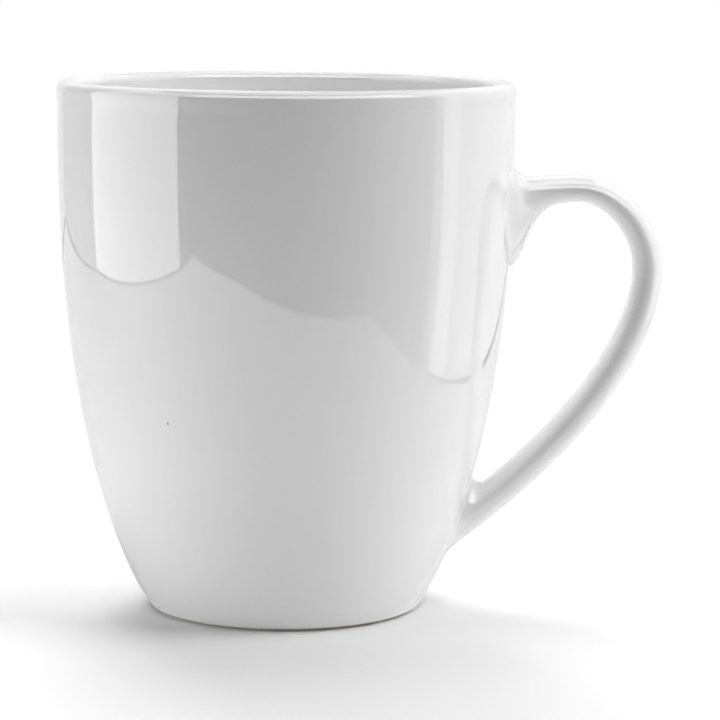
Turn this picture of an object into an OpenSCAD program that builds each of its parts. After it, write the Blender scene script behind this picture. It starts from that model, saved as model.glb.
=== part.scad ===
// Ceramic mug: a round-bellied cup on a small bare foot ring, with an ear-shaped
// handle luted on with slip and everything but the foot ring under clear-white glaze.
// Millimetres. The origin is on the cup's axis at table level, +Z is up, the handle is toward +X.

/* [Cup] */
// finished height, foot ring to the crest of the lip
cup_h = 105; // [90:1:125]
// finished diameter of the wall just under the lip
cup_d = 90; // [78:1:100]
// finished diameter of the foot where the wall starts
foot_d = 53.2; // [44:0.2:62]
// how far the wall leans out from upright where it leaves the foot, in degrees
foot_lean = 41.4; // [30:0.2:50]
// length of the foot's pull on the wall curve
foot_pull = 2.3; // [1:0.1:8]
// length of the lip's pull on the wall curve, as a share of the cup's height
lip_pull = 0.743; // [0.5:0.001:0.8]
// how far the wall curve swells past the lip diameter, on the radius
belly = 0.75; // [0:0.05:2]
// thickness of the finished wall from the lip to mid height
wall_t = 3.3; // [2.6:0.1:4.5]
// extra wall thickness low down, where the clay runs into the floor
wall_gain = 1.5; // [0:0.1:3]
// height under which the wall thickens
gain_h = 48; // [30:1:70]
// height of the finished floor inside, above the table
floor_h = 6.5; // [5:0.1:9]

/* [Lip] */
// radius of the rounded lip
lip_r = 1.7; // [1.2:0.05:2.2]
// how far the lip's bead stands proud of the wall below it
bead = 0.2; // [0:0.05:0.6]
// height of the taper from the bead down to the wall
bead_h = 3; // [1:0.5:6]

/* [Foot ring] */
// width of the flat bare ring the mug stands on
ring_w = 2.6; // [1.5:0.1:4]
// depth of the recess inside the ring
recess_h = 1.8; // [1:0.1:3]
// height above the table at which the outer glaze stops
bare_h = 0.7; // [0.3:0.1:2]
// rounding of the ring's outer edge
ring_edge = 0.8; // [0.3:0.1:1.5]

/* [Handle] */
// how far the handle stands out from the wall at its farthest point
stand_out = 30.4; // [24:0.2:40]
// drop from the lip down to the top of the handle
crest_drop = 18.3; // [12:0.1:26]
// drop from the top of the handle down to its farthest point
reach_drop = 18.2; // [12:0.1:24]
// how far the crest of the strap stands out from the wall
crest_out = 12.8; // [10:0.1:18]
// how much lower the strap's centre line is at the upper root than at the crest
root_dip = 0.5; // [0:0.1:3]
// height where the strap's centre line enters the wall at the bottom
low_in_h = 16.9; // [13:0.1:26]
// slope of the strap where it enters the wall at the bottom, in degrees from level
low_slope = 37.5; // [30:0.5:55]
// pull of the crest on the shoulder
crest_pull = 8.2; // [5:0.1:12]
// pull of the farthest point on the shoulder
shoulder_pull = 6.4; // [4:0.1:10]
// pull of the farthest point on the long lower run
reach_pull = 13.5; // [8:0.5:24]
// pull of the lower end on the long lower run
low_pull = 32; // [15:0.5:40]

/* [Strap] */
// strap thickness at the crest
crest_t = 5.2; // [4:0.1:7]
// strap thickness at its farthest point
reach_t = 5.6; // [4:0.1:7]
// strap thickness at the lower root
low_t = 6.4; // [4:0.1:8]
// strap width at the upper root, before it spreads onto the wall
top_w = 15; // [12:0.5:18]
// strap width at the crest and over the fingers
grip_w = 11.4; // [9:0.2:16]
// strap width at the lower root
low_w = 10.6; // [8:0.2:15]
// squareness of the strap's section, where 2 is a true oval
squareness = 2.3; // [2:0.1:3]

/* [Roots] */
// how far the web hangs below the strap where it meets the wall
web_drop = 11.6; // [6:0.1:14]
// distance from the wall over which the web dies away into the strap
web_run = 5.3; // [3:0.1:7]
// hollow along the top of the upper root
top_hollow = 3.6; // [2:0.1:5]
// hollow down the sides of the upper root
side_hollow = 6; // [2:0.1:7]
// hollow all round the lower root
low_hollow = 2.2; // [1:0.1:3]
// hollow in the sharp corner between the lower root and the wall
corner_hollow = 1.5; // [0.5:0.1:2.5]

/* [Slip and glaze] */
// thickness of the slip between the handle and the wall
slip_t = 0.8; // [0.4:0.1:1.5]
// thickness of the glaze
glaze_t = 0.3; // [0.2:0.05:0.5]

/* [Fineness] */
// bands down the wall
wall_steps = 16; // [8:1:32]
// bands down the inside
inside_steps = 12; // [8:1:32]
// bands round the lip
lip_steps = 8; // [4:2:16]
// corners round the strap
strap_sides = 20; // [12:4:40]
// sections along the upper root
root_steps = 11; // [8:1:20]
// sections over the shoulder
shoulder_steps = 7; // [5:1:16]
// sections down the lower run
run_steps = 15; // [10:1:30]
// facets round the cup
$fn = 96;

/* [Hidden] */

wall_r = cup_d / 2;
lip_out = wall_r + bead;
lip_z = cup_h - lip_r;
lip_c = lip_out - lip_r;

clay = [0.93, 0.92, 0.89];
slip = [0.87, 0.85, 0.81];
white = [0.97, 0.97, 0.97];

// ---- curves ----

// a point on a cubic curve through four control points
function curve(p, t) =
    pow(1 - t, 3) * p[0]
    + 3 * pow(1 - t, 2) * t * p[1]
    + 3 * (1 - t) * t * t * p[2]
    + pow(t, 3) * p[3];

// the unit direction of that curve
function heading(p, t) =
    let (d = pow(1 - t, 2) * (p[1] - p[0]) + 2 * (1 - t) * t * (p[2] - p[1]) + t * t * (p[3] - p[2]))
    d / norm(d);

// the outside of the finished wall, foot to lip, as [radius, height]
wall_curve = [
    [foot_d / 2, 0],
    [foot_d / 2 + foot_pull * sin(foot_lean), foot_pull * cos(foot_lean)],
    [wall_r + belly, lip_z - lip_pull * cup_h],
    [wall_r, lip_z - bead_h]
];
wall_line = [for (i = [0:3 * wall_steps]) curve(wall_curve, i / (3 * wall_steps))];
wall_table = [for (p = wall_line) [p[1], p[0]]];
function wall_at(z) = lookup(z, wall_table);
function wall_tilt(z) = atan2(wall_at(z + 1) - wall_at(z - 1), 2);

// the wall's thickness at a height
function thick_at(z) = wall_t + wall_gain * pow(max(0, 1 - z / gain_h), 1.5);

// points down the wall, set in from the finished outside by a depth
function wall_points(depth) = [
    for (i = [0:wall_steps])
        let (t = i / wall_steps, p = curve(wall_curve, t), d = heading(wall_curve, t))
        p - depth * [d[1], -d[0]]
];

// the lip's outside from the wall to the crest, and its inside from the crest down
function lip_outside(depth) = [
    for (i = [0:lip_steps / 2])
        let (a = 90 * i / (lip_steps / 2))
        [lip_c + (lip_r - depth) * cos(a), lip_z + (lip_r - depth) * sin(a)]
];
function lip_inside(depth) = [
    for (i = [lip_steps / 2:lip_steps])
        let (a = 90 * i / (lip_steps / 2))
        [lip_c + (lip_r - depth) * cos(a), lip_z + (lip_r - depth) * sin(a)]
];

// the inside from under the lip to the floor, buried under a depth of glaze
inside_stop = 0.4;
function inside_wall(t, depth) =
    let (p = curve(wall_curve, t), d = heading(wall_curve, t), n = [d[1], -d[0]])
    p - (thick_at(p[1]) - depth) * n;
function inside_points(depth) =
    let (
        last = inside_wall(inside_stop, depth),
        d = heading(wall_curve, inside_stop),
        floor_z = floor_h - depth,
        drop = last[1] - floor_z,
        corner = [
            last,
            last - 0.62 * drop * d,
            [last[0] - 1.15 * drop, floor_z],
            [last[0] - 2.1 * drop, floor_z]
        ]
    )
    concat(
        [for (i = [0:inside_steps])
            inside_wall(0.965 + (inside_stop - 0.965) * i / inside_steps, depth)],
        [for (i = [1:6]) curve(corner, i / 6)]
    );

// ---- strap ----

// the strap's centre line in the plane of the handle, as [distance from the axis, height]
crest_h = cup_h - crest_drop;
crest_z = crest_h - crest_t / 2;
crest_x = wall_at(crest_z) + crest_out;
reach_h = crest_h - reach_drop;
out_x = wall_at(reach_h) + stand_out - reach_t / 2;
root_x = wall_at(crest_z) - 3.4;
low_in = [wall_at(low_in_h), low_in_h];
low_way = [cos(low_slope), sin(low_slope)];
root_line = [
    [root_x, crest_z - root_dip],
    [root_x + 8.5, crest_z - root_dip],
    [crest_x - 6, crest_z],
    [crest_x, crest_z]
];
shoulder_line = [
    [crest_x, crest_z],
    [crest_x + crest_pull, crest_z],
    [out_x, reach_h + shoulder_pull],
    [out_x, reach_h]
];
run_line = [
    [out_x, reach_h],
    [out_x, reach_h - reach_pull],
    low_in + low_pull * low_way,
    low_in
];

// sections along the strap: [centre, direction, thickness, width, root], where root is
// 1 in the upper root and 2 in the lower one
function ease(t) = t * t * (3 - 2 * t);
stations = concat(
    [for (i = [0:root_steps - 1])
        let (t = pow(i / root_steps, 1.6))
        [curve(root_line, t), heading(root_line, t), crest_t, top_w + (grip_w - top_w) * ease(t), 1]],
    [for (i = [0:shoulder_steps - 1])
        let (t = i / shoulder_steps)
        [curve(shoulder_line, t), heading(shoulder_line, t),
            crest_t + (reach_t - crest_t) * t, grip_w, 1]],
    [for (i = [0:run_steps])
        let (t = 1 - pow(1 - i / run_steps, 1.25))
        [curve(run_line, t), heading(run_line, t), reach_t + (low_t - reach_t) * t,
            grip_w + (low_w - grip_w) * t, 2]],
    [for (i = [1:4])
        [low_in - 2.4 * i * low_way, -low_way, low_t, low_w, 2]]
);

// how far a hollow of radius r lifts a surface that meets the wall at an angle b,
// at a distance d from the wall
function hollow(d, r, b) =
    let (run = r / tan(b / 2), s = d / sin(b))
    s >= run ? 0 : s <= run * cos(b) ? run * sin(b) : r - sqrt(r * r - pow(run - s, 2));

// the web under the upper root dies away with the distance d from the wall
web_end = 13;
function web(d) =
    let (s = max(0, d))
    s > web_end ? 0 : web_drop * (1 - pow(s / web_end, 2)) / pow(1 + pow(s / web_run, 2), 2);

// one section of the strap, drawn in by a depth; angle 0 is the outer side, 180 the finger side
sunk = 0.6;
function oval(v) = sign(v) * pow(abs(v), 2 / squareness);
function above_wall(p, y) = (norm([p[0], y]) - wall_at(p[1])) * cos(wall_tilt(p[1])) + sunk;
// the lift of a section's side, found by halving, that lands it on the round wall in a hollow
function side_lift(p, half_w, s, r, low, high, turns) =
    let (mid = (low + high) / 2, outside = hollow(above_wall(p, (half_w + mid) * s), r, 90) > mid)
    turns == 0 ? mid : side_lift(p, half_w, s, r, outside ? mid : low, outside ? high : mid, turns - 1);
function section(st, depth) = [
    for (k = [0:strap_sides - 1])
        let (
            c = oval(cos(360 * k / strap_sides)),
            s = oval(sin(360 * k / strap_sides)),
            up = [-st[1][1], st[1][0]],
            half_t = st[2] / 2,
            half_w = st[3] / 2,
            d = above_wall(st[0] + up * half_t * c, half_w * s),
            upper = st[4] == 1,
            r = upper ? side_hollow : low_hollow,
            more_w = side_lift(st[0] + up * half_t * c, half_w, s, r, 0, r, 9),
            more_t = c > 0
                ? hollow(d, upper ? top_hollow : low_hollow, upper ? 90 : 144)
                : upper ? web(d - sunk) : hollow(d, corner_hollow, 46),
            p = st[0] + up * (half_t + more_t - depth) * c
        )
        [p[0], (half_w + more_w - depth) * s, p[1]]
];

// the strap from one station to another, drawn in by a depth
module strap(depth, first, last) {
    rings = [for (i = [first:last]) section(stations[i], depth)];
    count = len(rings);
    n = strap_sides;
    points = [for (ring = rings) for (p = ring) p];
    start_cap = [[for (k = [n - 1:-1:0]) k]];
    end_cap = [[for (k = [0:n - 1]) (count - 1) * n + k]];
    sides = [
        for (i = [0:count - 2]) for (k = [0:n - 1]) for (half = [0:1])
            let (m = (k + 1) % n, a = i * n + k, b = i * n + m, c = a + n, d = b + n)
            half == 0 ? [a, b, c] : [b, d, c]
    ];
    polyhedron(points, concat(start_cap, sides, end_cap));
}

// ---- solids of the cup ----

// the wall's outside, filled in to the axis, with its face a depth inside the finished wall
module filled_wall(depth) {
    line = wall_points(depth);
    rotate_extrude()
        polygon(concat([[0, -2], [line[0][0], -2]], line, [[0, line[wall_steps][1]]]));
}

// where a line of points crosses a height
function crossing(line, z) = lookup(z, [for (p = line) [p[1], p[0]]]);
function above(line, z) = [for (p = line) if (p[1] > z + 0.01) p];
function backward(line) = [for (i = [len(line) - 1:-1:0]) line[i]];

ring_out = foot_d / 2 - ring_edge;
ring_in = ring_out - ring_w;
recess_top = recess_h + glaze_t;
recess_r = ring_in - 1.2;
recess_line = [[ring_in, 0], [recess_r, recess_top]];

module cup_body() {
    outside = above(wall_points(glaze_t), bare_h);
    start = [crossing(wall_points(glaze_t), bare_h), bare_h];
    edge = [
        [ring_out, 0],
        [ring_out + 0.45 * (start[0] - ring_out), 0],
        start - 0.45 * bare_h * [0.5, 1]
    ];
    color(clay)
        rotate_extrude()
            polygon(concat(
                edge, [start], outside,
                lip_outside(glaze_t),
                lip_inside(glaze_t),
                inside_points(glaze_t),
                [[0, floor_h - glaze_t], [0, recess_top]],
                backward(recess_line)
            ));
}

module liner_glaze() {
    color(white)
        rotate_extrude()
            polygon(concat(
                lip_inside(0), inside_points(0),
                [[0, floor_h], [0, floor_h - glaze_t]],
                backward(inside_points(glaze_t)), backward(lip_inside(glaze_t))
            ));
}

module outer_glaze() {
    finished = wall_points(0);
    bare = wall_points(glaze_t);
    color(white)
        difference() {
            rotate_extrude()
                polygon(concat(
                    [[crossing(finished, bare_h), bare_h]], above(finished, bare_h),
                    lip_outside(0), backward(lip_outside(glaze_t)),
                    backward(above(bare, bare_h)), [[crossing(bare, bare_h), bare_h]]
                ));
            upper_root(0);
            lower_root(0);
        }
}

module base_glaze() {
    skirt = [crossing(recess_line, bare_h), bare_h];
    color(white)
        rotate_extrude()
            polygon([
                [0, recess_h], [recess_r - glaze_t, recess_h], skirt - [1.3 * glaze_t, 0],
                skirt, [recess_r, recess_top], [0, recess_top]
            ]);
}

// ---- the handle and what holds it on ----

last_station = len(stations) - 1;
root_reach = 5;
low_reach = 13;

module upper_root(depth) {
    strap(depth, 0, root_reach);
}

module lower_root(depth) {
    strap(depth, last_station - low_reach, last_station);
}

module handle() {
    color(clay)
        difference() {
            strap(glaze_t, 0, last_station);
            filled_wall(glaze_t - slip_t);
        }
}

module upper_slip_joint() {
    color(slip)
        difference() {
            intersection() {
                upper_root(glaze_t);
                filled_wall(glaze_t - slip_t);
            }
            filled_wall(glaze_t);
        }
}

module lower_slip_joint() {
    color(slip)
        difference() {
            intersection() {
                lower_root(glaze_t);
                filled_wall(glaze_t - slip_t);
            }
            filled_wall(glaze_t);
        }
}

module handle_glaze() {
    color(white)
        difference() {
            strap(0, 0, last_station);
            strap(glaze_t, 0, last_station);
            filled_wall(glaze_t);
        }
}

cup_body();
handle();
upper_slip_joint();
lower_slip_joint();
liner_glaze();
outer_glaze();
handle_glaze();
base_glaze();
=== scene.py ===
# %% [markdown]
# # A glazed ceramic mug, piece by piece
# The mug is a thrown or jiggered cup, an ear handle luted on with slip, and one coat of clear
# white glaze over everything except the small foot ring that it stood on in the kiln.
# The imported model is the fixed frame: it says how big every piece is and where it sits.
# This lesson builds each visible piece again as a fine mesh, so that long soft reflections run
# over it without facets, and gives it a glaze or a clay made from shader nodes.

# %% Load the frame
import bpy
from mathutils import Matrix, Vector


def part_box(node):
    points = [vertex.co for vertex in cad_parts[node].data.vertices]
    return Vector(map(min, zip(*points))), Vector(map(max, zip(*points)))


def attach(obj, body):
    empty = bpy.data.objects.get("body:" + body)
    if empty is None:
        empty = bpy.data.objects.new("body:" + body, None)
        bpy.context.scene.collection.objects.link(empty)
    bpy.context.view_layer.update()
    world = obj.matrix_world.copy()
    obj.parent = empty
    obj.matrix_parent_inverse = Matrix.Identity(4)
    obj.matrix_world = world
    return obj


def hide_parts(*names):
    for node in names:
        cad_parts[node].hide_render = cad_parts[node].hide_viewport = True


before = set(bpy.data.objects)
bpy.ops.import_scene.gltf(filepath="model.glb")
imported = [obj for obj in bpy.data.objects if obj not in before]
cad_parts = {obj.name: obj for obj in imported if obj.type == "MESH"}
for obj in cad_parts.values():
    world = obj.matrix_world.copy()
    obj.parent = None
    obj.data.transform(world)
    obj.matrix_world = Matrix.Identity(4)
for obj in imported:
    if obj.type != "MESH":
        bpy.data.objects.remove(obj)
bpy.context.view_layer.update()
print("frame nodes:", sorted(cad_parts))

# %% Modules and units
import math

import bpy
import numpy as np
from mathutils import Matrix, Vector

MM = 0.001
scene = bpy.context.scene

# %% [markdown]
# ## Sizes of the cup
# A potter reads a cup as a profile: a foot, a wall that opens out of it and rises nearly
# straight, and a rounded lip. The places come from the frame: the glaze on the outside gives
# the widest radius, the height of the lip and the height of the bare foot. The numbers that a
# box can't give, such as the pull of a curve, are the same as in the part.

# %% Sizes of the cup
outside_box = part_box("outer_glaze")
lip_out = round(outside_box[1].x / MM, 2)
cup_h = round(outside_box[1].z / MM, 2)
bare_h = round(outside_box[0].z / MM, 2)
recess_h = 1.8
foot_r = 26.6
bead = 0.2
bead_h = 3.0
lip_r = 1.7
glaze_t = 0.3
wall_r = lip_out - bead
lip_z = cup_h - lip_r
lip_c = lip_out - lip_r
wall_top = lip_z - bead_h
foot_lean = math.radians(41.4)
foot_pull = 2.3
lip_pull = 0.743
belly = 0.75
wall_t = 3.3
wall_gain = 1.5
gain_h = 48.0
floor_h = 6.5
print("lip radius", lip_out, "height", cup_h, "bare foot up to", bare_h)

# %% [markdown]
# ## Curves
# One cubic curve draws the whole wall. The same four-point curve draws the lip's taper, the
# corner inside the cup and every stretch of the handle, so it is the first helper.

# %% Curve helpers
def bezier(p, t):
    """Points on a cubic curve through four control points, at the shares t."""
    p = np.asarray(p, float)
    t = np.asarray(t, float)[..., None]
    u = 1 - t
    return u**3 * p[0] + 3 * u**2 * t * p[1] + 3 * u * t**2 * p[2] + t**3 * p[3]


def bezier_way(p, t):
    """The unit direction of that curve."""
    p = np.asarray(p, float)
    t = np.asarray(t, float)[..., None]
    u = 1 - t
    d = u**2 * (p[1] - p[0]) + 2 * u * t * (p[2] - p[1]) + t**2 * (p[3] - p[2])
    return d / np.linalg.norm(d, axis=-1, keepdims=True)


def line_way(line):
    """The unit direction along a line of points."""
    d = np.gradient(np.asarray(line, float), axis=0)
    return d / np.linalg.norm(d, axis=-1, keepdims=True)


wall_curve = [
    [foot_r, 0.0],
    [foot_r + foot_pull * math.sin(foot_lean), foot_pull * math.cos(foot_lean)],
    [wall_r + belly, lip_z - lip_pull * cup_h],
    [wall_r, wall_top],
]
share = np.linspace(0, 1, 4001)
wall_line = bezier(wall_curve, share)
wall_way = bezier_way(wall_curve, share)


def wall_at(z):
    """Radius of the finished wall at a height."""
    return np.interp(z, wall_line[:, 1], wall_line[:, 0])


def wall_lean(z):
    """The wall's outward direction at a height, as its parts along the radius and up."""
    along = np.interp(z, wall_line[:, 1], wall_way[:, 0])
    up = np.interp(z, wall_line[:, 1], wall_way[:, 1])
    size = np.hypot(along, up)
    return up / size, -along / size


def clear_of_wall(p):
    """How far points stand out from the finished wall."""
    radius = np.hypot(p[..., 0], p[..., 1])
    out, _ = wall_lean(p[..., 2])
    return (radius - wall_at(p[..., 2])) * out


print("wall radius at mid height", round(float(wall_at(cup_h / 2)), 2))

# %% [markdown]
# ## The handle's path and section
# A pulled handle is an oval strap that leaves the wall level, bends over a shoulder and runs
# down to the foot of the belly. It is drawn as three curves end to end: the upper root, the
# shoulder and the long lower run, which carries on a little way inside the wall.

# %% The strap's centre line
stand_out = 30.4
crest_drop = 18.3
reach_drop = 18.2
crest_out = 12.8
root_dip = 0.5
root_sink = 3.4
root_pull = 8.5
crest_lead = 6.0
low_in_h = 16.9
low_slope = math.radians(37.5)
crest_pull = 8.2
shoulder_pull = 6.4
reach_pull = 13.5
low_pull = 32.0
crest_t = 5.2
reach_t = 5.6
low_t = 6.4
top_w = 15.0
grip_w = 11.4
low_w = 10.6
squareness = 2.3

crest_h = cup_h - crest_drop
crest_z = crest_h - crest_t / 2
crest_x = float(wall_at(crest_z)) + crest_out
reach_h = crest_h - reach_drop
out_x = float(wall_at(reach_h)) + stand_out - reach_t / 2
root_x = float(wall_at(crest_z)) - root_sink
low_in = np.array([float(wall_at(low_in_h)), low_in_h])
low_way = np.array([math.cos(low_slope), math.sin(low_slope)])
root_line = [[root_x, crest_z - root_dip], [root_x + root_pull, crest_z - root_dip],
             [crest_x - crest_lead, crest_z], [crest_x, crest_z]]
shoulder_line = [[crest_x, crest_z], [crest_x + crest_pull, crest_z],
                 [out_x, reach_h + shoulder_pull], [out_x, reach_h]]
run_line = [[out_x, reach_h], [out_x, reach_h - reach_pull],
            low_in + low_pull * low_way, low_in]


def strap_line(u):
    """Centre, direction, thickness and width of the strap: u is 0 to 1 in the upper root,
    1 to 2 over the shoulder and 2 to 3 down the run; below 0 and above 3 is inside the wall."""
    u = np.asarray(u, float)
    root = np.clip(u, 0, 1)
    over = np.clip(u - 1, 0, 1)
    run = np.clip(u - 2, 0, 1)
    deep = np.clip(-u, 0, None)[..., None] * 3 * root_pull
    inside = np.clip(u - 3, 0, None)[..., None] * 3 * low_pull
    first = (u < 1)[..., None]
    second = (u < 2)[..., None]
    centre = np.where(first, bezier(root_line, root) - deep * np.array([1.0, 0.0]),
                      bezier(shoulder_line, over))
    centre = np.where(second, centre, bezier(run_line, run) - inside * low_way)
    way = np.where(first, bezier_way(root_line, root), bezier_way(shoulder_line, over))
    way = np.where(second, way, bezier_way(run_line, run))
    thick = crest_t + (reach_t - crest_t) * over + (low_t - reach_t) * run
    wide = top_w + (grip_w - top_w) * root * root * (3 - 2 * root) + (low_w - grip_w) * run
    return centre, way, thick, wide


print("crest at", round(crest_x, 1), round(crest_z, 1), "reach at", round(out_x, 1))

# %% [markdown]
# ## How the strap grows out of the wall
# A wet finger run round the join leaves a hollow, and at the upper root it leaves a web under
# the strap as well. Both are lifts added to the plain oval: they die away with the distance
# from the wall. A side's lift depends on where the side ends up on the round wall, so it is
# found by halving. Molten glaze gathers in the sharp corner at the web's foot, so a small hollow
# is added there too.

# %% Hollows, web and section
web_drop = 11.6
web_run = 5.3
web_end = 13.0
top_hollow = 3.6
side_hollow = 6.0
low_hollow = 2.2
corner_hollow = 1.5
web_pool = 0.8
sunk = 0.05


def hollow(d, r, corner):
    """The lift of a hollow of radius r in a corner, at a distance d from the wall."""
    run = r / math.tan(math.radians(corner) / 2)
    s = np.asarray(d, float) / math.sin(math.radians(corner))
    flat = run * math.cos(math.radians(corner))
    arc = r - np.sqrt(np.clip(r * r - (run - s) ** 2, 0, None))
    lift = np.where(s <= flat, run * math.sin(math.radians(corner)), arc)
    return np.where(s >= run, 0.0, lift)


def web(d):
    """The web under the upper root, at a distance d from the wall."""
    s = np.clip(d, 0, None)
    shape = web_drop * (1 - (s / web_end) ** 2) / (1 + (s / web_run) ** 2) ** 2
    return np.where(s > web_end, 0.0, shape)


def oval(v):
    return np.sign(v) * np.abs(v) ** (2 / squareness)


def strap_point(u, angle):
    """Points on the finished strap: angle 0 is the outer side and half a turn the finger side."""
    u, angle = np.broadcast_arrays(np.asarray(u, float), np.asarray(angle, float))
    centre, way, thick, wide = strap_line(u)
    c = oval(np.cos(angle))
    s = oval(np.sin(angle))
    up = np.stack([-way[..., 1], way[..., 0]], -1)
    half_t = thick / 2
    half_w = wide / 2
    upper = u < 2
    r_side = np.where(upper, side_hollow, low_hollow)
    plain = centre + up * (half_t * c)[..., None]

    def at(side):
        return np.stack([plain[..., 0], (half_w + side) * s, plain[..., 1]], -1)

    d = clear_of_wall(at(np.zeros_like(c)))
    low = np.zeros_like(c)
    high = r_side * 1.0
    for _ in range(26):
        mid = (low + high) / 2
        gap = clear_of_wall(at(mid)) + sunk
        lift = np.where(upper, hollow(gap, side_hollow, 90), hollow(gap, low_hollow, 90))
        low = np.where(lift > mid, mid, low)
        high = np.where(lift > mid, high, mid)
    more_w = (low + high) / 2
    outer = np.where(upper, hollow(d + sunk, top_hollow, 90), hollow(d + sunk, low_hollow, 144))
    inner = np.where(upper, web(d) + hollow(d + sunk, web_pool, 90),
                     hollow(d + 4 * sunk, corner_hollow, 46))
    more_t = np.where(c > 0, outer, inner)
    p = centre + up * ((half_t + more_t) * c)[..., None]
    return np.stack([p[..., 0], (half_w + more_w) * s, p[..., 1]], -1)


# %% [markdown]
# ## Where the strap meets the wall
# The join has to be one smooth skin, because a glaze flows over it without a step. So each
# long line of the strap is followed until it touches the wall, and the ring of touching points
# becomes an edge that the wall and the strap share. Low down, the hollow on the finger side
# crosses the hollows on the two flanks, so the last rows are evened out, as a wet sponge does.

# %% Follow each line of the strap to the wall
sides = 80
angles = 2 * np.pi * np.arange(sides) / sides


def touching(u_out, u_in):
    """For each line of the strap, where between u_out and u_in it meets the wall."""
    u = np.linspace(u_out, u_in, 600)[:, None]
    gap = clear_of_wall(strap_point(u, angles[None, :]))
    inside = gap < 0
    first = np.argmax(inside, axis=0)
    near = u[np.maximum(first - 1, 0), 0]
    far = u[first, 0]
    for _ in range(30):
        mid = (near + far) / 2
        out = clear_of_wall(strap_point(mid, angles)) > 0
        near = np.where(out, mid, near)
        far = np.where(out, far, mid)
    meet = (near + far) / 2
    for _ in range(2):
        meet = (np.roll(meet, 1) + 2 * meet + np.roll(meet, -1)) / 4
    return meet


u_top = touching(1.0, -0.15)
u_low = touching(2.55, 3.12)
root_rows = 18
shoulder_rows = 14
run_rows = 40
low_rows = 16
u_turn = 2.78
rows = [u_top + (1 - u_top) * (i / root_rows) ** 1.5 for i in range(root_rows)]
rows += [np.full(sides, 1 + i / shoulder_rows) for i in range(shoulder_rows)]
rows += [np.full(sides, 2 + (u_turn - 2) * i / run_rows) for i in range(run_rows)]
rows += [u_turn + (u_low - u_turn) * (1 - (1 - i / low_rows) ** 1.4) for i in range(low_rows + 1)]
strap = strap_point(np.array(rows), np.broadcast_to(angles, (len(rows), sides)))
sponged_rows = 12
sponge_strokes = 12
for _ in range(sponge_strokes):
    across = (np.roll(strap, 1, axis=1) + np.roll(strap, -1, axis=1)) / 2
    along = (np.roll(strap, 1, axis=0) + np.roll(strap, -1, axis=0)) / 2
    strap[-sponged_rows:-1] = (2 * strap + across + along)[-sponged_rows:-1] / 4
for end in (0, -1):
    turn = np.arctan2(strap[end, :, 1], strap[end, :, 0])
    radius = wall_at(strap[end, :, 2])
    strap[end, :, 0] = radius * np.cos(turn)
    strap[end, :, 1] = radius * np.sin(turn)
print("upper join z", strap[0, :, 2].min().round(1), strap[0, :, 2].max().round(1),
      "half width", strap[0, :, 1].max().round(1))
print("lower join z", strap[-1, :, 2].min().round(1), strap[-1, :, 2].max().round(1),
      "half width", strap[-1, :, 1].max().round(1))

# %% [markdown]
# ## The wall as a grid
# The outside of the cup is a grid of rings and upright lines. Two windows are left out of it
# where the handle joins, and each window has as many edge points as the strap has lines, so the
# gap between window and join fills with clean rings of four-sided faces.

# %% Outside profile, foot to crest of the lip
columns = 192
wall_rows = 64
taper_rows = 5
taper_pull = 1.1
bead_pull = 1.3
lip_rows = 12
wall_z = np.linspace(bare_h, wall_top, wall_rows + 1)
top_way = wall_way[-1]
taper_curve = [wall_line[-1], wall_line[-1] + top_way * taper_pull,
               [lip_out, lip_z - bead_pull], [lip_out, lip_z]]
taper = bezier(taper_curve, np.linspace(0, 1, taper_rows + 1)[1:])
quarter = np.radians(np.linspace(0, 90, lip_rows + 1)[1:])
crest = np.stack([lip_c + lip_r * np.cos(quarter), lip_z + lip_r * np.sin(quarter)], -1)
profile = np.concatenate([np.stack([wall_at(wall_z), wall_z], -1), taper, crest])
lean_r, lean_z = wall_lean(wall_z)
taper_way = bezier_way(taper_curve, np.linspace(0, 1, taper_rows + 1)[1:])
profile_normal = np.concatenate([
    np.stack([lean_r, lean_z], -1),
    np.stack([taper_way[:, 1], -taper_way[:, 0]], -1),
    np.stack([np.cos(quarter), np.sin(quarter)], -1),
])
print("outside profile:", len(profile), "points")

# %% Windows for the two joins
window_columns = 11
window_rows = 18
row_height = (wall_top - bare_h) / wall_rows


def window(join):
    """First and last row of the window whose middle is at the join's middle height."""
    middle = (join[:, 2].min() + join[:, 2].max()) / 2
    first = max(1, int(round((middle - bare_h) / row_height - window_rows / 2)))
    return first, first + window_rows


def window_edge(first, last, start_high):
    """The window's edge points as column and row, going the same way round as the strap."""
    w = window_columns
    edge = [(c, last) for c in range(0, w)]
    edge += [(w, r) for r in range(last, first, -1)]
    edge += [(c, first) for c in range(w, -w, -1)]
    edge += [(-w, r) for r in range(first, last)]
    edge += [(c, last) for c in range(-w, 0)]
    if not start_high:
        edge = [(c, first + last - r) for c, r in edge]
    return edge


top_window = window(strap[0])
low_window = window(strap[-1])
print("windows, rows:", top_window, low_window)

# %% One skin for the wall and the strap
points = []
normals = []
wall_faces = []
strap_faces = []


def add(p, n=(0, 0, 0)):
    points.append(tuple(p))
    normals.append(tuple(n))
    return len(points) - 1


def in_window(column, row):
    side = (column + columns // 2) % columns - columns // 2
    for first, last in (top_window, low_window):
        if first < row < last and abs(side) < window_columns:
            return True
    return False


grid = {}
for row, ((r, z), (nr, nz)) in enumerate(zip(profile, profile_normal)):
    for column in range(columns):
        if in_window(column, row):
            continue
        a = 2 * math.pi * column / columns
        grid[column, row] = add((r * math.cos(a), r * math.sin(a), z),
                                (nr * math.cos(a), nr * math.sin(a), nz))
for row in range(len(profile) - 1):
    for column in range(columns):
        after = (column + 1) % columns
        corners = [(column, row), (after, row), (after, row + 1), (column, row + 1)]
        side = (column + columns // 2) % columns - columns // 2
        hole = any(first <= row < last and -window_columns <= side < window_columns
                   for first, last in (top_window, low_window))
        if not hole:
            wall_faces.append([grid[c] for c in corners])

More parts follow.
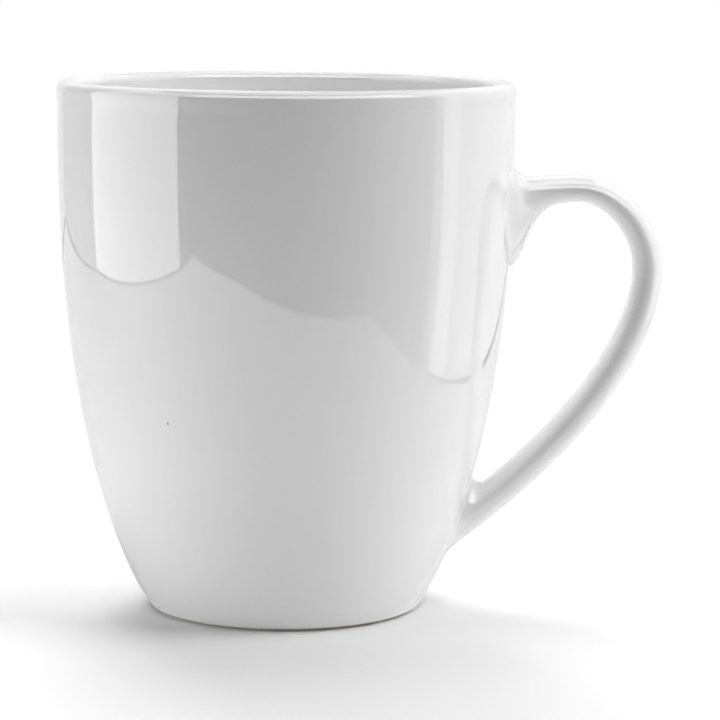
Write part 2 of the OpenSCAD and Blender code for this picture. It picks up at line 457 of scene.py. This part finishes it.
strap_index = [[add(p) for p in ring] for ring in strap]
for i in range(len(strap) - 1):
    for k in range(sides):
        m = (k + 1) % sides
        strap_faces.append([strap_index[i][k], strap_index[i + 1][k],
                            strap_index[i + 1][m], strap_index[i][m]])

rings_round = 9
for join, first_last, high in ((0, top_window, True), (-1, low_window, False)):
    edge = window_edge(first_last[0], first_last[1], high)
    loop = strap[join]
    loop_turn = np.arctan2(loop[:, 1], loop[:, 0])
    edge_turn = np.array([2 * math.pi * c / columns for c, r in edge])
    edge_z = np.array([wall_z[r] for c, r in edge])
    before = list(strap_index[join])
    for ring in range(1, rings_round + 1):
        f = (ring / rings_round) ** 1.25
        if ring < rings_round:
            turn = loop_turn + (edge_turn - loop_turn) * f
            z = loop[:, 2] + (edge_z - loop[:, 2]) * f
            radius = wall_at(z)
            nr, nz = wall_lean(z)
            now = [add((radius[k] * math.cos(turn[k]), radius[k] * math.sin(turn[k]), z[k]),
                       (nr[k] * math.cos(turn[k]), nr[k] * math.sin(turn[k]), nz[k]))
                   for k in range(sides)]
        else:
            now = [grid[c % columns, r] for c, r in edge]
        for k in range(sides):
            m = (k + 1) % sides
            face = [before[k], before[m], now[m], now[k]]
            wall_faces.append(face if high else face[::-1])
        before = now
points = np.array(points)
normals = np.array(normals)
print("skin:", len(points), "points,", len(wall_faces), "wall faces,", len(strap_faces), "strap faces")

# %% Smooth directions over the skin
def face_directions(p, faces):
    """Directions at the points, from the faces round each one."""
    faces = np.array(faces)
    a, b, c, d = (p[faces[:, i]] for i in range(4))
    area = np.cross(c - a, d - b)
    out = np.zeros_like(p)
    for i in range(4):
        np.add.at(out, faces[:, i], area)
    return out / np.maximum(np.linalg.norm(out, axis=1, keepdims=True), 1e-12)


from_faces = face_directions(points, wall_faces + strap_faces)
bare = np.linalg.norm(normals, axis=1) < 0.5
normals[bare] = from_faces[bare]
print("directions from faces at", int(bare.sum()), "points")

# %% [markdown]
# ## A coat of glaze as a closed shell
# A glaze is a thin layer with a finished face and a face against the clay. A helper takes a
# skin with its directions, lays a second skin one glaze thickness below it, and closes the rim
# between them with a small round edge, which is how a real glaze ends above bare clay.

# %% Coat helper
def make_object(name, p, faces, directions=None):
    """A mesh object from points in millimetres, smooth shaded along given directions."""
    mesh = bpy.data.meshes.new(name)
    mesh.from_pydata([tuple(v) for v in np.asarray(p) * MM], [], [list(f) for f in faces])
    mesh.validate()
    mesh.update()
    mesh.polygons.foreach_set("use_smooth", np.ones(len(mesh.polygons), bool))
    if directions is not None:
        mesh.normals_split_custom_set_from_vertices([tuple(n) for n in directions])
    obj = bpy.data.objects.new(name, mesh)
    scene.collection.objects.link(obj)
    return obj


def coat(name, p, n, faces, thick=glaze_t, swell=0.4):
    """A closed shell: the faces, a copy one thickness below, and a rim between. Low down,
    where the rim is the end of the glaze, it swells out round; elsewhere two glazes meet."""
    used = sorted({v for f in faces for v in f})
    place = {v: i for i, v in enumerate(used)}
    outer = p[used]
    inner = outer - n[used] * thick
    count = len(used)
    top = [[place[v] for v in f] for f in faces]
    under = [[v + count for v in f[::-1]] for f in top]
    once = {}
    for f in top:
        for a, b in zip(f, f[1:] + f[:1]):
            if (b, a) in once:
                del once[b, a]
            else:
                once[a, b] = True
    rim_out = {}
    for a, b in once:
        edge = outer[b] - outer[a]
        side = np.cross(edge, n[used][a] + n[used][b])
        side = side / max(np.linalg.norm(side), 1e-9)
        for v in (a, b):
            rim_out[v] = rim_out.get(v, 0) + side
    extra = {}
    extra_p = []
    extra_n = []
    for v, side in rim_out.items():
        side = side / max(np.linalg.norm(side), 1e-9)
        extra[v] = 2 * count + len(extra_p)
        proud = swell if outer[v][2] < bare_h + glaze_t else 0.0
        extra_p.append((outer[v] + inner[v]) / 2 + side * thick * proud)
        extra_n.append(side)
    rim = []
    for a, b in once:
        rim.append([b, a, extra[a], extra[b]])
        rim.append([extra[b], extra[a], a + count, b + count])
    all_p = np.concatenate([outer, inner, np.array(extra_p).reshape(-1, 3)])
    all_n = np.concatenate([n[used], -n[used], np.array(extra_n).reshape(-1, 3)])
    obj = make_object(name, all_p, top + under + rim, all_n)
    print(name, len(all_p), "points", len(top) * 2 + len(rim), "faces")
    return obj


# %% Glaze on the outside and on the handle
outside_glaze = coat("outside_glaze", points, normals, wall_faces)
handle_glaze = coat("handle_glaze_coat", points, normals, strap_faces)
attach(outside_glaze, "root")
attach(handle_glaze, "root")
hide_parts("outer_glaze")
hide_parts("handle_glaze")

# %% [markdown]
# ## The liner
# Inside, the wall is a little thinner at the lip than at the foot, and it runs into the floor
# in one round corner, so that a spoon can reach all of it. The profile follows the wall at the
# wall's thickness, then a curve takes it down to the flat floor.

# %% Inside profile and its glaze
def thick_at(z):
    return wall_t + wall_gain * np.clip(1 - z / gain_h, 0, None) ** 1.5


def inside_wall(t):
    """Points on the finished inside, opposite the wall's points at the shares t."""
    p = bezier(wall_curve, t)
    d = bezier_way(wall_curve, t)
    n = np.stack([d[..., 1], -d[..., 0]], -1)
    return p - thick_at(p[..., 1])[..., None] * n


def spread(line, count):
    """The same line with its points evenly spaced."""
    step = np.hypot(*np.diff(line, axis=0).T)
    far = np.concatenate([[0], np.cumsum(step)])
    at = np.linspace(0, far[-1], count)
    return np.stack([np.interp(at, far, line[:, 0]), np.interp(at, far, line[:, 1])], -1)


inside_stop = 0.4
inside_start = 0.955
neck_pull = 1.6
corner_pull = 0.62
floor_pull = 1.15
floor_reach = 2.1
axis_r = 0.6
upper = inside_wall(np.linspace(inside_start, inside_stop, 400))
last = upper[-1]
last_way = line_way(upper)[-1]
drop = last[1] - floor_h
corner = bezier([last, last + corner_pull * drop * last_way, [last[0] - floor_pull * drop, floor_h],
                 [last[0] - floor_reach * drop, floor_h]], np.linspace(0, 1, 300))
lip_in = [lip_c - lip_r, lip_z]
neck = bezier([lip_in, [lip_in[0], lip_z - neck_pull],
               upper[0] - line_way(upper)[0] * neck_pull, upper[0]], np.linspace(0, 1, 80))
floor_line = np.stack([np.linspace(corner[-1, 0], axis_r, 60), np.full(60, floor_h)], -1)
arc = np.radians(np.linspace(90, 180, lip_rows + 1))
lip_line = np.stack([lip_c + lip_r * np.cos(arc), lip_z + lip_r * np.sin(arc)], -1)
below = spread(np.concatenate([neck, upper[1:], corner[1:], floor_line[1:]]), 110)
inside_line = np.concatenate([lip_line, below[1:]])
inside_way = line_way(inside_line)
inside_normal = np.stack([inside_way[:, 1], -inside_way[:, 0]], -1)
inside_normal[:lip_rows + 1] = np.stack([np.cos(arc), np.sin(arc)], -1)


def lathe(line, line_normal, closed_at_axis, count=columns):
    """Points, directions and faces of a line turned round the axis. The solid is on the
    line's right, and the last point, or the first as well, may be closed at the axis."""
    p, n, faces = [], [], []
    for (r, z), (nr, nz) in zip(line, line_normal):
        for k in range(count):
            a = 2 * math.pi * k / count
            p.append((r * math.cos(a), r * math.sin(a), z))
            n.append((nr * math.cos(a), nr * math.sin(a), nz))
    for i in range(len(line) - 1):
        for k in range(count):
            m = (k + 1) % count
            faces.append([i * count + k, i * count + m, (i + 1) * count + m, (i + 1) * count + k])
    for end in closed_at_axis:
        p.append((0, 0, line[end][1]))
        n.append((0, 0, math.copysign(1, line_normal[end][1])))
        start = (len(line) - 1) * count if end == -1 else 0
        for k in range(count):
            m = (k + 1) % count
            pair = [start + k, start + m] if end == -1 else [start + m, start + k]
            faces.append(pair + [len(p) - 1])
    return np.array(p), np.array(n), faces


inside_p, inside_n, inside_faces = lathe(inside_line, inside_normal, [-1])
liner = coat("liner_glaze_coat", inside_p, inside_n, inside_faces)
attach(liner, "root")
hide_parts("liner_glaze")

# %% [markdown]
# ## The clay cup and its bare foot
# The clay is seen only where the glaze stops: a narrow ring under the mug, wiped clean so that
# it doesn't weld to the kiln shelf. Inside the ring a shallow recess is glazed again. The clay
# is turned from one closed profile, one glaze thickness inside every finished face.

# %% Clay profile
ring_w = 2.6
ring_edge = 0.8
ring_out = foot_r - ring_edge
ring_in = ring_out - ring_w
recess_top = recess_h + glaze_t
recess_r = ring_in - 1.2
foot_rounds = [0.8, 0.35, 0.5]
recess_round = 0.7
wiped_back = 0.05


def rounded(corners, radii, count=7):
    """A line through corners, each turned with its own small radius."""
    line = [corners[0]]
    for before, here, after, r in zip(corners, corners[1:], corners[2:], radii):
        before, here, after = (np.array(v, float) for v in (before, here, after))
        back = (before - here) / np.linalg.norm(before - here)
        on = (after - here) / np.linalg.norm(after - here)
        for t in np.linspace(0, 1, count):
            start = here + back * r
            stop = here + on * r
            line.append((1 - t)**2 * start + 2 * t * (1 - t) * here + t * t * stop)
    line.append(corners[-1])
    return np.array([np.asarray(v, float) for v in line])


bare_profile = profile - glaze_t * profile_normal
bare_inside = inside_line - glaze_t * inside_normal
foot = rounded([[axis_r, recess_top], [recess_r, recess_top], [ring_in, 0.0], [ring_out, 0.0],
                bare_profile[0]], foot_rounds)
foot_part = np.concatenate([spread(foot[:9], 24)[:-1], foot[9:]])
clay_line = np.concatenate([foot_part, bare_profile[1:], bare_inside[1:]])
gap = np.hypot(*np.diff(clay_line, axis=0).T)
clay_line = clay_line[np.concatenate([[True], gap > 0.004])]
clay_way = line_way(clay_line)
clay_normal = np.stack([clay_way[:, 1], -clay_way[:, 0]], -1)
clay_p, clay_n, clay_faces = lathe(clay_line, clay_normal, [-1, 0])
clay_cup = make_object("clay_cup", clay_p, clay_faces, clay_n)
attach(clay_cup, "root")
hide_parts("cup_body")
print("clay profile:", len(clay_line), "points")

# %% Glaze in the recess
skirt = np.interp(bare_h, [0, recess_top], [ring_in, recess_r])
recess_finished = rounded([[axis_r, recess_h], [recess_r - glaze_t, recess_h],
                           [skirt - wiped_back, bare_h]], [recess_round], 9)
recess_finished = np.concatenate([spread(recess_finished[:6], 20)[:-1], recess_finished[6:]])
recess_way = line_way(recess_finished)
recess_normal = np.stack([recess_way[:, 1], -recess_way[:, 0]], -1)
recess_p, recess_n, recess_faces = lathe(recess_finished, recess_normal, [0])
recess_glaze = coat("recess_glaze_coat", recess_p, recess_n, recess_faces, glaze_t - 0.02)
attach(recess_glaze, "root")
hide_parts("base_glaze")

# %% [markdown]
# ## Shader sums
# A finish is written as a sum of patterns. The helper wraps a node's output, so that plain
# arithmetic on it adds Math nodes, and one method adds any other node with its settings first.

# %% A wire that does arithmetic
class Wire:
    """An output of a node. Arithmetic on it adds Math nodes to the same material."""

    def __init__(self, tree, socket=None):
        self.tree = tree
        self.socket = socket

    def node(self, kind, settings=None, sockets=None, out=0):
        """Adds a node: its settings are set first, then the values or links of its sockets."""
        made = self.tree.nodes.new(kind)
        for name, value in (settings or {}).items():
            setattr(made, name, value)
        for name, value in (sockets or {}).items():
            if isinstance(value, Wire):
                self.tree.links.new(value.socket, made.inputs[name])
            else:
                made.inputs[name].default_value = value
        return Wire(self.tree, made.outputs[out] if len(made.outputs) else None)

    def sum(self, operation, a, b=0.0):
        return self.node("ShaderNodeMath", {"operation": operation}, {0: a, 1: b})

    def __add__(self, other):
        return self.sum("ADD", self, other)

    def __radd__(self, other):
        return self.sum("ADD", other, self)

    def __sub__(self, other):
        return self.sum("SUBTRACT", self, other)

    def __rsub__(self, other):
        return self.sum("SUBTRACT", other, self)

    def __mul__(self, other):
        return self.sum("MULTIPLY", self, other)

    def __rmul__(self, other):
        return self.sum("MULTIPLY", other, self)

    def step(self, low, high):
        """0 below low, 1 above high, smooth between."""
        return self.node("ShaderNodeMapRange", {"interpolation_type": "SMOOTHSTEP"},
                         {"Value": self, "From Min": low, "From Max": high})

    def noise(self, scale, detail=2.0, rough=0.5):
        """Soft random pattern over a position wire, with scale in features per metre."""
        return self.node("ShaderNodeTexNoise", None,
                         {"Vector": self, "Scale": scale, "Detail": detail, "Roughness": rough})

    def mix(self, a, b):
        """Colour a where this is 0 and colour b where it is 1."""
        return self.node("ShaderNodeMix", {"data_type": "RGBA"}, {0: self, 6: a, 7: b}, out=2)


def new_finish(name):
    """A new material with its nodes cleared: the material, and a wire over positions in the object."""
    material = bpy.data.materials.new(name)
    material.use_nodes = True
    material.node_tree.nodes.clear()
    start = Wire(material.node_tree)
    place = start.node("ShaderNodeTexCoord", out="Object")
    return material, place

# %% [markdown]
# ## White glaze
# A clear glaze over a white body is a smooth, hard, slightly wavy surface. The waves are far too
# shallow to see by themselves, and show only in how they bend the edge of a reflection, so they
# are a bump of a few thousandths of a millimetre in two sizes: the pull of the brush or the dip,
# and the fine orange peel of a gloss firing. The white drifts a little in tone, and one pinhole
# is left where a bubble burst, its pit painted dark grey as painted shade.

# %% Glaze finish
def white_glaze(name, pinholes=()):
    """Glossy white glaze; pinholes are places in metres, each with its own small crater, darkened
    inside with painted shade.
    """
    material, place = new_finish(name)
    drift = place.noise(26.0, 3.0)
    cloud = place.noise(140.0, 2.0)
    tone = (drift - 0.5) * 0.5 + (cloud - 0.5) * 0.25 + 0.5
    colour = tone.mix((0.83, 0.83, 0.832, 1), (0.88, 0.88, 0.879, 1))
    wave = place.noise(55.0, 1.0) * 0.9 + place.noise(420.0, 2.0) * 0.1
    rough = 0.035 + place.noise(90.0, 2.0) * 0.03
    for hole in pinholes:
        away = place.node("ShaderNodeVectorMath", {"operation": "DISTANCE"}, {0: place, 1: hole}, 1)
        pit = 1 - away.step(0.00012, 0.00042)
        ring = away.step(0.00035, 0.0006) * (1 - away.step(0.0007, 0.0011))
        # The pit is painted dark grey: painted shade inside the pinhole's crater.
        colour = pit.mix(colour, (0.42, 0.42, 0.42, 1))
        wave = wave - pit * 0.35 + ring * 0.12
    bump = place.node("ShaderNodeBump", None, {"Strength": 0.35, "Distance": 0.00012, "Height": wave})
    surface = place.node("ShaderNodeBsdfPrincipled", None, {
        "Base Color": colour, "Roughness": rough, "IOR": 1.55,
        "Coat Weight": 1.0, "Coat Roughness": 0.02, "Coat IOR": 1.5, "Normal": bump})
    place.node("ShaderNodeOutputMaterial", None, {"Surface": surface})
    return material


hole_turn = math.radians(-120.7)
hole_z = 41.9
hole_r = float(wall_at(hole_z))
pinhole = (hole_r * math.cos(hole_turn) * MM, hole_r * math.sin(hole_turn) * MM, hole_z * MM)
outside_white = white_glaze("white_glaze_outside", [pinhole])
inside_white = white_glaze("white_glaze_inside")
for piece, finish in ((outside_glaze, outside_white), (handle_glaze, outside_white),
                      (liner, inside_white), (recess_glaze, inside_white)):
    piece.data.materials.append(finish)
print("finish:", outside_white.name, "with", len(outside_white.node_tree.nodes), "nodes")

# %% [markdown]
# ## Bare clay and slip
# Fired white stoneware is matt and fine grained, a little warmer than the glaze over it, with
# scattered dark specks of iron and a rubbed look where the foot was sponged. The slip that holds
# the handle is the same clay let down with water, so it fires a shade darker and rougher.

# %% Clay finish
def fired_clay(name, pale, deep, grit):
    """Matt fired clay: two tones, a grain of the given strength and a few specks."""
    material, place = new_finish(name)
    broad = place.noise(160.0, 4.0)
    grain = place.noise(2600.0, 3.0, 0.7)
    colour = (broad * 0.6 + grain * 0.4).step(0.3, 0.7).mix(deep, pale)
    cells = place.node("ShaderNodeTexVoronoi", None, {"Vector": place, "Scale": 700.0})
    speck = 1 - cells.step(0.06, 0.14)
    colour = (speck * 0.55).mix(colour, (0.32, 0.27, 0.22, 1))
    height = grain * 0.7 + broad * 0.3 - speck * 0.4
    bump = place.node("ShaderNodeBump", None, {"Strength": grit, "Distance": 0.00008, "Height": height})
    surface = place.node("ShaderNodeBsdfPrincipled", None, {
        "Base Color": colour, "Roughness": 0.72 + grain * 0.2, "IOR": 1.45, "Normal": bump})
    place.node("ShaderNodeOutputMaterial", None, {"Surface": surface})
    return material


clay = fired_clay("fired_clay", (0.74, 0.72, 0.68, 1), (0.62, 0.6, 0.56, 1), 0.6)
slip = fired_clay("fired_slip", (0.66, 0.63, 0.58, 1), (0.52, 0.49, 0.44, 1), 0.9)
clay_cup.data.materials.append(clay)
for node, finish in (("handle", clay), ("upper_slip_joint", slip), ("lower_slip_joint", slip)):
    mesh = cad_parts[node].data
    mesh.materials.clear()
    mesh.materials.append(finish)
print("clay and slip on", clay_cup.name, "and three frame nodes")

# %% [markdown]
# ## A small white studio
# White on white needs careful light. A product table is a white board a few mugs wide, with a
# tall soft light standing at its left edge, a white reflector at its right edge, a lit wall
# behind and bright canopies hung high round it. Low in front it is left dark, so that a grey
# centre models the cup between two bright sides, while the lip still catches the canopies.
# Two jobs are kept apart here. Lamps that no reflection sees do the lighting and cast the
# shadow, and glowing cards that only reflections see draw the windows in the glaze. The camera
# sees neither.

# %% Stage helpers
def around(bearing, distance, height=0.0):
    """A place in metres: the bearing is in degrees from the camera's side, to the right."""
    turn = math.radians(bearing)
    return Vector((distance * math.sin(turn), -distance * math.cos(turn), height))


def glowing(name, strength):
    """A black sheet that glows, evenly or, from a function of the place on it, unevenly."""
    material, place = new_finish(name)
    uneven = callable(strength)
    surface = place.node("ShaderNodeBsdfPrincipled", None, {
        "Base Color": (0, 0, 0, 1), "Roughness": 1.0, "Specular IOR Level": 0.0,
        "Emission Color": strength(place) if uneven else (1, 1, 1, 1),
        "Emission Strength": 1.0 if uneven else strength})
    place.node("ShaderNodeOutputMaterial", None, {"Surface": surface})
    return material


def card(name, corners, faces, strength):
    """A card that only reflections see."""
    mesh = bpy.data.meshes.new(name)
    mesh.from_pydata([tuple(c) for c in corners], [], faces)
    mesh.materials.append(glowing(name + "_glow", strength))
    obj = bpy.data.objects.new(name, mesh)
    scene.collection.objects.link(obj)
    obj.visible_camera = False
    obj.visible_diffuse = False
    obj.visible_shadow = False
    obj.visible_transmission = False
    return obj


def standing_card(name, foot, low, high, strength):
    """A card that stands along a line of places on the table."""
    count = len(foot)
    rim = [(x, y, low) for x, y in foot] + [(x, y, high) for x, y in foot]
    faces = [(i, i + 1, i + count + 1, i + count) for i in range(count - 1)]
    return card(name, rim, faces, strength)


def soft_lamp(name, bearing, rise, power, distance=0.9, size=0.45):
    """A square soft lamp at a bearing and an angle above the table, aimed at the cup."""
    light = bpy.data.lights.new(name, "AREA")
    light.shape = "SQUARE"
    light.size = size
    light.energy = power
    lamp = bpy.data.objects.new(name, light)
    scene.collection.objects.link(lamp)
    up = math.radians(rise)
    lamp.location = around(bearing, distance * math.cos(up), distance * math.sin(up))
    aim = Vector((0, 0, cup_h * MM / 2))
    lamp.rotation_euler = (lamp.location - aim).to_track_quat("Z", "Y").to_euler()
    lamp.visible_camera = False
    lamp.visible_glossy = False
    return lamp


# %% White room and pale floor
world = bpy.data.worlds.new("white_room")
world.use_nodes = True
world.node_tree.nodes["Background"].inputs["Color"].default_value = (1, 1, 1, 1)
world.node_tree.nodes["Background"].inputs["Strength"].default_value = 1.0
world.cycles_visibility.diffuse = False
world.cycles_visibility.glossy = False
scene.world = world
scene.view_settings.view_transform = "Standard"

floor_rings = [0.08, 0.2, 0.4, 0.75]
floor_sides = 48
fade_start = 0.2
fade_end = 0.42
floor_turns = 2 * np.pi * np.arange(floor_sides) / floor_sides
floor_p = [(r * math.cos(a), r * math.sin(a), 0.0) for r in floor_rings for a in floor_turns]
floor_p.append((0.0, 0.0, 0.0))
floor_f = []
for k in range(floor_sides):
    m = (k + 1) % floor_sides
    floor_f.append((k, m, len(floor_p) - 1))
    for i in range(0, floor_sides * (len(floor_rings) - 1), floor_sides):
        floor_f.append((i + floor_sides + k, i + floor_sides + m, i + m, i + k))
floor_mesh = bpy.data.meshes.new("floor")
floor_mesh.from_pydata(floor_p, [], floor_f)
paper, place = new_finish("pale_floor")
away = place.node("ShaderNodeVectorMath", {"operation": "LENGTH"}, {0: place}, 1)
fade = away.step(fade_start, fade_end)
grain = place.node("ShaderNodeBump", None, {"Strength": 0.1, "Distance": 0.0002,
                                           "Height": place.noise(900.0, 3.0)})
sheet = place.node("ShaderNodeBsdfPrincipled", None, {
    "Base Color": (0.9, 0.9, 0.9, 1), "Roughness": 0.6, "Specular IOR Level": 0.2, "Normal": grain})
clear = place.node("ShaderNodeBsdfTransparent")
mixed = place.node("ShaderNodeMixShader", None, {0: fade, 1: sheet, 2: clear})
place.node("ShaderNodeOutputMaterial", None, {"Surface": mixed})
floor_mesh.materials.append(paper)
floor = bpy.data.objects.new("floor", floor_mesh)
scene.collection.objects.link(floor)
floor.visible_glossy = False

# %% Lamps
lamps = [
    ("left_low", -75, 12, 3.5), ("right_low", 75, 12, 1.4), ("right_back_low", 105, 12, 0.6),
    ("right_high", 75, 50, 4.3), ("right_back_high", 135, 50, 0.9), ("back_high", -165, 50, 4.6),
    ("back_top", 180, 75, 2.7), ("front_left_high", -45, 50, 0.2),
]
for name, bearing, rise, power in lamps:
    soft_lamp(name, bearing, rise, power)
print(len(lamps), "lamps,", round(sum(l[3] for l in lamps), 1), "watts")

# %% Cards
def table_glow(place):
    """The lit board in the glaze: brighter to the front left, dim in the cup's own shadow."""
    across = place.node("ShaderNodeSeparateXYZ", None, {0: place})
    along = Wire(place.tree, across.socket.node.outputs[1])
    far = place.node("ShaderNodeVectorMath", {"operation": "LENGTH"}, {0: place}, 1)
    front = 1 - along.step(-0.1, 0.1)
    shade = (1 - far.step(0.03, 0.11)) * (1 - across.step(-0.03, 0.04))
    return (0.85 - across * 1.75 * front) * (1 - shade * 0.45)


card_h = 0.45
canopy_top = 1.2
canopy_far = 0.75
board_z = -0.002
board = [(-0.42, 0.6), (-0.403, 0.113), (-0.283, -0.239), (-0.283, -0.305), (-0.111, -0.311),
         (0.040, -0.261), (0.182, -0.198), (0.180, -0.05), (0.2, 0.6)]
card("board_card", [(x, y, board_z) for x, y in board], [list(range(len(board)))], table_glow)
standing_card("left_softbox", [(-0.283, -0.239), (-0.403, 0.113)], 0.0, card_h, 2.15)
standing_card("left_wall", [(-0.403, 0.113), (-0.42, 0.6)], 0.0, card_h, 0.72)
standing_card("reflector_rim", [(0.178, -0.06), (0.178, -0.042)], 0.0, card_h, 0.56)
standing_card("reflector_edge", [(0.178, -0.042), (0.181, -0.01)], 0.0, card_h, 1.45)
standing_card("reflector", [(0.181, -0.01), (0.19, 0.1), (0.2, 0.6)], 0.0, card_h, 0.92)
standing_card("back_wall", [(0.2, 0.6), (-0.42, 0.6)], 0.0, card_h, 0.87)


def high_card(name, start, stop, strength):
    """A curved card hung above the others, from one bearing to another."""
    foot = [around(bearing, canopy_far).to_2d() for bearing in np.linspace(start, stop, 25)]
    standing_card(name, foot, card_h, canopy_top, strength)


high_card("front_canopy", -55, 78, 3.5)
high_card("left_canopy", -111, -55, 2.3)
high_card("back_canopy", -180, -111, 0.9)
ceiling_half = 0.5
ceiling = [(-1, -1), (1, -1), (1, 1), (-1, 1)]
card("ceiling", [(x * ceiling_half, y * ceiling_half, canopy_top) for x, y in ceiling],
     [(0, 1, 2, 3)], 0.9)
print("eleven cards")

# %% [markdown]
# ## Camera
# A long lens stands a little above the lip and looks slightly down, so that the mouth is a thin
# ellipse and the upright wall stays upright.

# %% Camera
eye = Vector((0.0209, -0.5970, 0.1329))
lens = 151.0
turn = math.radians(-0.58)
dip = math.radians(7.96)
roll = math.radians(0.41)
ahead = Vector((math.sin(turn) * math.cos(dip), math.cos(turn) * math.cos(dip), -math.sin(dip)))
level = ahead.cross(Vector((0, 0, 1))).normalized()
above = level.cross(ahead)
right = level * math.cos(roll) + above * math.sin(roll)
up = above * math.cos(roll) - level * math.sin(roll)
camera_axes = [[right[i], up[i], -ahead[i]] for i in range(3)]
camera_data = bpy.data.cameras.new("camera")
camera_data.lens = lens
camera_data.sensor_width = 36.0
camera_data.clip_start = 0.01
camera = bpy.data.objects.new("camera", camera_data)
camera.matrix_world = Matrix.Translation(eye) @ Matrix(camera_axes).to_4x4()
scene.collection.objects.link(camera)
scene.camera = camera
print("camera at", [round(v, 3) for v in eye])
